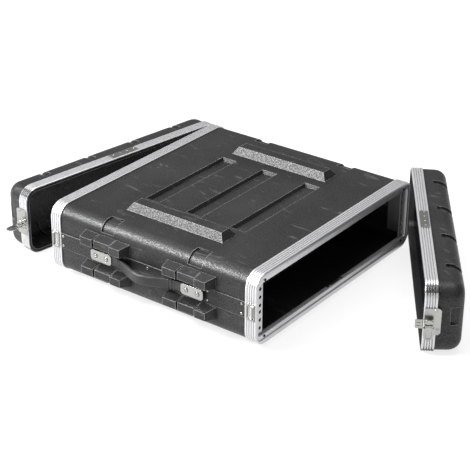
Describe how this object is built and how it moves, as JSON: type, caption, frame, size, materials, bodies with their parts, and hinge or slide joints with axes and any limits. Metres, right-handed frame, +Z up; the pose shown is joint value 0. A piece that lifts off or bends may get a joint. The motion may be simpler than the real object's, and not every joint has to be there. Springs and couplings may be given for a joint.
{
  "type": "equipment rack case",
  "caption": "Shallow moulded rack case with metal rims, rack rails and side handles, shown with its front and rear lids taken off beside the openings.",
  "frame": {"origin": "middle of the footprint of the case and its two lids, on the floor", "axes": "+Z up; -Y out of the front opening, +Y out of the rear opening, +X towards the side where both lids hook on"},
  "size_m": [0.648, 0.9008, 0.1616],
  "materials": {
    "abs_black": "fine pebble grain, moulded black ABS",
    "aluminium": "extruded and lightly brushed",
    "plated_steel": "zinc plated, slightly worn",
    "black_steel": "black oxide",
    "rubber": "matte black"
  },
  "bodies": {
    "case": {"front_catch_bar_left": "plated_steel", "front_keeper_left": "plated_steel", "front_keeper_right": "plated_steel", "front_rim": "aluminium", "front_rim_splice": "plated_steel", "handle_plate_left_front": "plated_steel", "handle_plate_left_rear": "plated_steel", "handle_plate_right_front": "plated_steel", "handle_plate_right_rear": "plated_steel", "joint_strip_left": "abs_black", "joint_strip_right": "abs_black", "lower_shell": "abs_black", "rack_rail_front_left": "aluminium", "rack_rail_front_right": "aluminium", "rack_rail_rear_left": "aluminium", "rack_rail_rear_right": "aluminium", "rail_screw_front_left_bottom": "black_steel", "rail_screw_front_left_top": "black_steel", "rail_screw_front_right_bottom": "black_steel", "rail_screw_front_right_top": "black_steel", "rail_screw_rear_left_bottom": "black_steel", "rail_screw_rear_left_top": "black_steel", "rail_screw_rear_right_bottom": "black_steel", "rail_screw_rear_right_top": "black_steel", "rear_catch_bar_left": "plated_steel", "rear_keeper_left": "plated_steel", "rear_keeper_right": "plated_steel", "rear_rim": "aluminium", "rear_rim_splice": "plated_steel", "upper_shell": "abs_black"},
    "front_right_catch": {"front_catch_bar_right": "plated_steel"},
    "front_lid": {"front_lid_shell": "abs_black", "front_lid_rim": "aluminium", "front_lid_gasket": "rubber", "front_lid_splice": "plated_steel", "front_latch_plate_left": "plated_steel", "front_latch_plate_right": "plated_steel"},
    "front_left_hook": {"front_latch_hook_left": "plated_steel"},
    "front_left_rotor": {"front_latch_rotor_left": "plated_steel"},
    "front_left_wing": {"front_latch_wing_left": "plated_steel"},
    "front_right_hook": {"front_latch_hook_right": "plated_steel"},
    "front_right_rotor": {"front_latch_rotor_right": "plated_steel"},
    "front_right_wing": {"front_latch_wing_right": "plated_steel"},
    "rear_right_catch": {"rear_catch_bar_right": "plated_steel"},
    "rear_lid": {"rear_lid_shell": "abs_black", "rear_lid_rim": "aluminium", "rear_lid_gasket": "rubber", "rear_lid_splice": "plated_steel", "rear_latch_plate_left": "plated_steel", "rear_latch_plate_right": "plated_steel"},
    "rear_left_hook": {"rear_latch_hook_left": "plated_steel"},
    "rear_left_rotor": {"rear_latch_rotor_left": "plated_steel"},
    "rear_left_wing": {"rear_latch_wing_left": "plated_steel"},
    "rear_right_hook": {"rear_latch_hook_right": "plated_steel"},
    "rear_right_rotor": {"rear_latch_rotor_right": "plated_steel"},
    "rear_right_wing": {"rear_latch_wing_right": "plated_steel"},
    "left_handle": {"handle_left": "rubber"},
    "right_handle": {"handle_right": "rubber"}
  },
  "joints": [
    {"name": "front_lid_swing", "type": "hinge", "parent": "case", "child": "front_right_catch", "pos_m": [0.21458, -0.169, 0.0818], "axis": [0, 0, -1], "range_deg": [0, 33.55]},
    {"name": "front_lid_lift_off", "type": "slide", "parent": "front_right_catch", "child": "front_lid", "axis": [-0.8264, -0.5505, 0.1181], "range_m": [0, 0.09741]},
    {"name": "front_left_latch_turn", "type": "hinge", "parent": "front_lid", "child": "front_left_rotor", "pos_m": [-0.12423, -0.41274, 0.0713], "axis": [-0.8334, -0.5527, 0], "range_deg": [0, 180]},
    {"name": "front_left_latch_draw", "type": "slide", "parent": "front_lid", "child": "front_left_hook", "axis": [0.9683, -0.2498, 0], "range_m": [0, 0.00673]},
    {"name": "front_left_wing_fold", "type": "hinge", "parent": "front_left_rotor", "child": "front_left_wing", "pos_m": [-0.13223, -0.41805, 0.0683], "axis": [-0.5527, 0.8334, 0], "range_deg": [0, 90]},
    {"name": "front_right_latch_turn", "type": "hinge", "parent": "front_lid", "child": "front_right_rotor", "pos_m": [0.30564, -0.12768, 0.0713], "axis": [-0.8334, -0.5527, 0], "range_deg": [0, 180]},
    {"name": "front_right_latch_draw", "type": "slide", "parent": "front_lid", "child": "front_right_hook", "axis": [-0.1467, -0.9892, 0], "range_m": [0, 0.00673]},
    {"name": "front_right_wing_fold", "type": "hinge", "parent": "front_right_rotor", "child": "front_right_wing", "pos_m": [0.31364, -0.12237, 0.0683], "axis": [0.5527, -0.8334, 0], "range_deg": [0, 90]},
    {"name": "rear_lid_swing", "type": "hinge", "parent": "case", "child": "rear_right_catch", "pos_m": [0.21458, 0.289, 0.0818], "axis": [0, 0, 1], "range_deg": [0, 8.57]},
    {"name": "rear_lid_lift_off", "type": "slide", "parent": "rear_right_catch", "child": "rear_lid", "axis": [-0.7484, -0.5033, 0.432], "range_m": [0, 0.02662]},
    {"name": "rear_left_latch_turn", "type": "hinge", "parent": "rear_lid", "child": "rear_left_rotor", "pos_m": [-0.27116, 0.39489, 0.0713], "axis": [0.9888, -0.149, 0], "range_deg": [0, 180]},
    {"name": "rear_left_latch_draw", "type": "slide", "parent": "rear_lid", "child": "rear_left_hook", "axis": [0.7723, 0.6353, 0], "range_m": [0, 0.00673]},
    {"name": "rear_left_wing_fold", "type": "hinge", "parent": "rear_left_rotor", "child": "rear_left_wing", "pos_m": [-0.28066, 0.39632, 0.0683], "axis": [0.149, 0.9888, 0], "range_deg": [-90, 0]},
    {"name": "rear_right_latch_turn", "type": "hinge", "parent": "rear_lid", "child": "rear_right_rotor", "pos_m": [0.23888, 0.31802, 0.0713], "axis": [0.9888, -0.149, 0], "range_deg": [0, 180]},
    {"name": "rear_right_latch_draw", "type": "slide", "parent": "rear_lid", "child": "rear_right_hook", "axis": [-0.5507, 0.8347, 0], "range_m": [0, 0.00673]},
    {"name": "rear_right_wing_fold", "type": "hinge", "parent": "rear_right_rotor", "child": "rear_right_wing", "pos_m": [0.24837, 0.31659, 0.0683], "axis": [-0.149, -0.9888, 0], "range_deg": [0, 90]},
    {"name": "left_handle_slack", "type": "slide", "parent": "case", "child": "left_handle", "axis": [0, 1, 0], "range_m": [-0.003, 0.003]},
    {"name": "right_handle_slack", "type": "slide", "parent": "case", "child": "right_handle", "axis": [0, 1, 0], "range_m": [-0.003, 0.003]}
  ],
  "couplings": [
    {"joint": "front_left_latch_draw", "follows": "front_left_latch_turn", "m_per_rad": 0.0021412},
    {"joint": "front_right_latch_draw", "follows": "front_right_latch_turn", "m_per_rad": 0.0021412},
    {"joint": "rear_left_latch_draw", "follows": "rear_left_latch_turn", "m_per_rad": 0.0021412},
    {"joint": "rear_right_latch_draw", "follows": "rear_right_latch_turn", "m_per_rad": 0.0021412}
  ]
}
